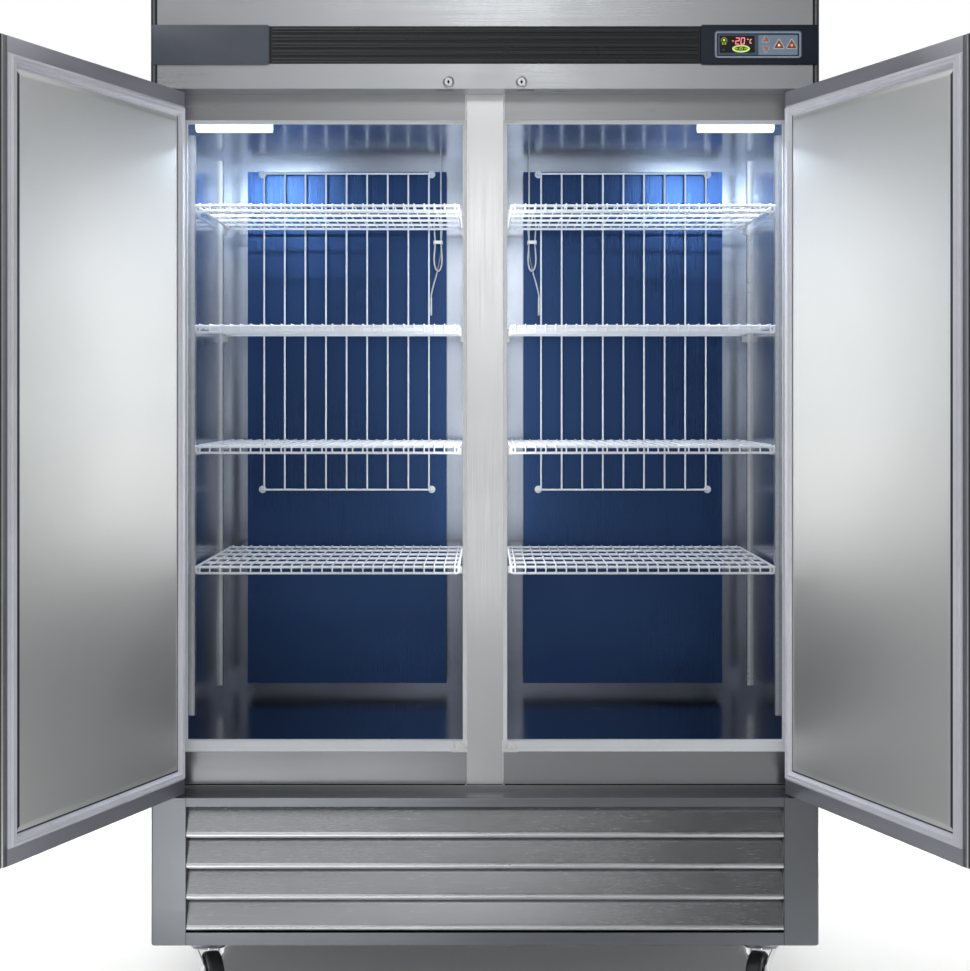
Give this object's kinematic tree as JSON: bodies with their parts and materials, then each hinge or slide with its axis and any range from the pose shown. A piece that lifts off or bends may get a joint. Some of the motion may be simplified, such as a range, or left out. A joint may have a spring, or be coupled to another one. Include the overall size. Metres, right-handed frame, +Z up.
{
  "type": "laboratory freezer",
  "caption": "Upright two-door stainless steel laboratory freezer on casters, with wire shelves, header controller and louvred base, doors standing open.",
  "frame": {"origin": "on the floor, in the middle of the outline seen from above with the doors open at rest", "axes": "+X to the right as seen from the front, +Y into the depth of the cabinet, +Z up"},
  "size_m": [1.7924, 1.4614, 2.096],
  "materials": {
    "stainless": "horizontally brushed stainless sheet",
    "liner_steel": "bright polished stainless",
    "foam": "cut polyurethane foam",
    "trim": "smooth pale plastic",
    "fascia": "satin moulded",
    "controller": "satin moulded",
    "window": "dark gloss",
    "key": "soft touch",
    "chrome": "bright chrome",
    "zinc": "zinc plated",
    "black_paint": "satin black",
    "grey_paint": "satin grey",
    "coil": "bare fins",
    "white_wire": "white epoxy coated",
    "black_plastic": "textured",
    "gasket": "soft vinyl",
    "lead": "smooth sheath",
    "tyre": "satin rubber",
    "lamp": "translucent cover"
  },
  "bodies": {
    "cabinet": {"outer_case": "stainless", "insulation": "foam", "liners": "liner_steel", "face_frame": "stainless", "breaker_strips": "trim", "header_panel": "stainless", "fascia_panel": "fascia", "controller_body": "controller", "display_window": "window", "lock_housings": "chrome", "base_frame": "stainless", "louvre_grille": "stainless", "compressor": "black_paint", "condenser_coil": "coil", "condenser_shroud": "black_paint", "drain_pan": "black_plastic", "evaporator_coils": "coil", "duct_covers": "liner_steel", "wire_guards": "white_wire", "shelf_pilasters": "zinc", "shelf_clips": "zinc", "interior_lights": "lamp", "hinge_brackets": "zinc", "caster_plates": "zinc", "sensor_leads": "lead", "shelf_left_1": "white_wire", "shelf_left_2": "white_wire", "shelf_left_3": "white_wire", "shelf_left_4": "white_wire", "shelf_right_1": "white_wire", "shelf_right_2": "white_wire", "shelf_right_3": "white_wire", "shelf_right_4": "white_wire"},
    "door_left": {"door_left_skin": "stainless", "door_left_core": "foam", "door_left_panel": "stainless", "door_left_gasket": "gasket", "door_left_pull": "black_plastic"},
    "door_right": {"door_right_skin": "stainless", "door_right_core": "foam", "door_right_panel": "stainless", "door_right_gasket": "gasket", "door_right_pull": "black_plastic"},
    "key_up": {"key_up": "key"},
    "key_down": {"key_down": "key"},
    "key_left": {"key_left": "key"},
    "key_right": {"key_right": "key"},
    "lock_plug_left": {"lock_plug_left": "chrome"},
    "lock_plug_right": {"lock_plug_right": "chrome"},
    "condenser_fan": {"condenser_fan": "black_plastic"},
    "evaporator_fan_left": {"evaporator_fan_left": "black_plastic"},
    "evaporator_fan_right": {"evaporator_fan_right": "black_plastic"},
    "fork_front_left": {"fork_front_left": "chrome"},
    "wheel_front_left": {"wheel_front_left": "tyre"},
    "fork_front_right": {"fork_front_right": "chrome"},
    "wheel_front_right": {"wheel_front_right": "tyre"},
    "fork_rear_left": {"fork_rear_left": "chrome"},
    "wheel_rear_left": {"wheel_rear_left": "tyre"},
    "fork_rear_right": {"fork_rear_right": "chrome"},
    "wheel_rear_right": {"wheel_rear_right": "tyre"}
  },
  "joints": [
    {"name": "door_left_hinge", "type": "hinge", "parent": "cabinet", "child": "door_left", "pos_m": [-0.668, -0.08628, 0.4345], "axis": [0, 0, -1], "range_deg": [-108.5, 11.5]},
    {"name": "door_right_hinge", "type": "hinge", "parent": "cabinet", "child": "door_right", "pos_m": [0.668, -0.08628, 0.4345], "axis": [0, 0, 1], "range_deg": [-108.5, 11.5]},
    {"name": "key_up_press", "type": "slide", "parent": "cabinet", "child": "key_up", "axis": [0, 1, 0], "range_m": [0, 0.001], "stiffness_N_per_m": 400},
    {"name": "key_down_press", "type": "slide", "parent": "cabinet", "child": "key_down", "axis": [0, 1, 0], "range_m": [0, 0.001], "stiffness_N_per_m": 400},
    {"name": "key_left_press", "type": "slide", "parent": "cabinet", "child": "key_left", "axis": [0, 1, 0], "range_m": [0, 0.001], "stiffness_N_per_m": 400},
    {"name": "key_right_press", "type": "slide", "parent": "cabinet", "child": "key_right", "axis": [0, 1, 0], "range_m": [0, 0.001], "stiffness_N_per_m": 400},
    {"name": "lock_left_turn", "type": "hinge", "parent": "cabinet", "child": "lock_plug_left", "pos_m": [-0.075, -0.10428, 1.9025], "axis": [0, -1, 0], "range_deg": [0, 90]},
    {"name": "lock_right_turn", "type": "hinge", "parent": "cabinet", "child": "lock_plug_right", "pos_m": [0.075, -0.10428, 1.9025], "axis": [0, 1, 0], "range_deg": [0, 90]},
    {"name": "condenser_fan_spin", "type": "hinge", "parent": "cabinet", "child": "condenser_fan", "pos_m": [-0.25, 0.04002, 0.28025], "axis": [0, 1, 0], "continuous": true},
    {"name": "evaporator_fan_left_spin", "type": "hinge", "parent": "cabinet", "child": "evaporator_fan_left", "pos_m": [-0.33285, 0.61672, 1.65], "axis": [0, 1, 0], "continuous": true},
    {"name": "evaporator_fan_right_spin", "type": "hinge", "parent": "cabinet", "child": "evaporator_fan_right", "pos_m": [0.33285, 0.61672, 1.65], "axis": [0, 1, 0], "continuous": true},
    {"name": "caster_front_left_swivel", "type": "hinge", "parent": "cabinet", "child": "fork_front_left", "pos_m": [-0.579, -0.01828, 0.117], "axis": [0, 0, 1], "continuous": true},
    {"name": "caster_front_left_roll", "type": "hinge", "parent": "fork_front_left", "child": "wheel_front_left", "pos_m": [-0.56851, -0.04424, 0.05], "axis": [0.9272, 0.3746, 0], "continuous": true},
    {"name": "caster_front_right_swivel", "type": "hinge", "parent": "cabinet", "child": "fork_front_right", "pos_m": [0.579, -0.01828, 0.117], "axis": [0, 0, 1], "continuous": true},
    {"name": "caster_front_right_roll", "type": "hinge", "parent": "fork_front_right", "child": "wheel_front_right", "pos_m": [0.56851, -0.04424, 0.05], "axis": [0.9272, -0.3746, 0], "continuous": true},
    {"name": "caster_rear_left_swivel", "type": "hinge", "parent": "cabinet", "child": "fork_rear_left", "pos_m": [-0.579, 0.64472, 0.117], "axis": [0, 0, 1], "continuous": true},
    {"name": "caster_rear_left_roll", "type": "hinge", "parent": "fork_rear_left", "child": "wheel_rear_left", "pos_m": [-0.56851, 0.61876, 0.05], "axis": [0.9272, 0.3746, 0], "continuous": true},
    {"name": "caster_rear_right_swivel", "type": "hinge", "parent": "cabinet", "child": "fork_rear_right", "pos_m": [0.579, 0.64472, 0.117], "axis": [0, 0, 1], "continuous": true},
    {"name": "caster_rear_right_roll", "type": "hinge", "parent": "fork_rear_right", "child": "wheel_rear_right", "pos_m": [0.56851, 0.61876, 0.05], "axis": [0.9272, -0.3746, 0], "continuous": true}
  ]
}
